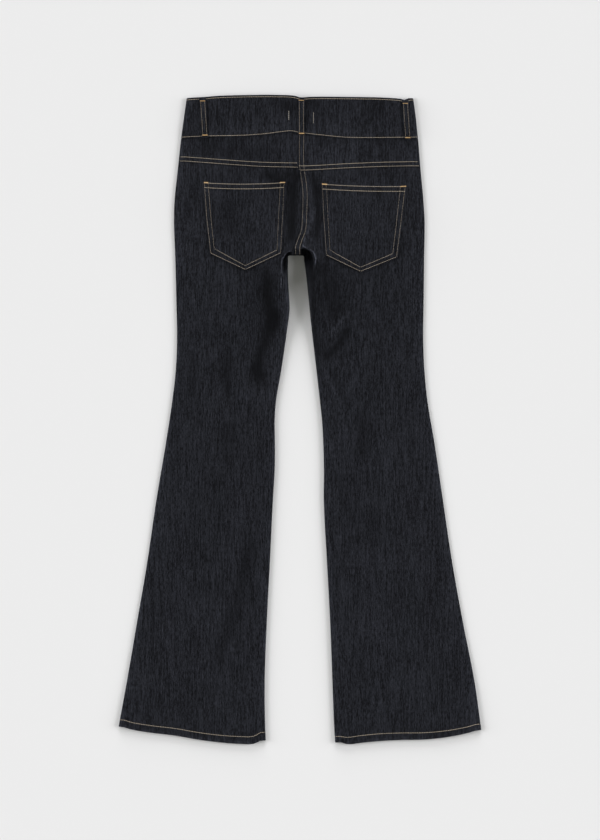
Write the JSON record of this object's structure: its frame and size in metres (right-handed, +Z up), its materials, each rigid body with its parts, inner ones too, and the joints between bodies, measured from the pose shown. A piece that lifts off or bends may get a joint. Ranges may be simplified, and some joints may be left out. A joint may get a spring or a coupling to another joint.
{
  "type": "bootcut jeans",
  "caption": "Low-rise bootcut jeans in dark denim, laid flat with the back side up, with a yoke, patch pockets, belt loops and a deep waistband.",
  "frame": {"origin": "centre of the footprint's box, on the surface that the jeans lie on", "axes": "+Z up, away from that surface; +Y up the garment towards the waist; +X towards the wearer's right, with the back side up"},
  "size_m": [0.5876, 1.0516, 0.0249],
  "materials": {
    "denim": "dark indigo twill denim, raw, with slubs along the length",
    "topstitch": "tan twisted polyester thread",
    "bartack": "ochre thread, dense satin stitches",
    "zip_tape": "woven tape",
    "button_metal": "aged, satin"
  },
  "bodies": {
    "root": {"back_leg_left": "denim", "back_leg_right": "denim", "front_leg_left": "denim", "front_leg_right": "denim", "back_yoke_left": "denim", "back_yoke_right": "denim", "waistband": "denim", "back_pocket_left": "denim", "back_pocket_right": "denim", "belt_loop_back_centre": "denim", "belt_loop_back_left": "denim", "belt_loop_back_right": "denim", "belt_loop_front_left": "denim", "belt_loop_front_right": "denim", "fly_shield": "denim", "fly_zip": "zip_tape", "waist_button": "button_metal"}
  },
  "joints": []
}
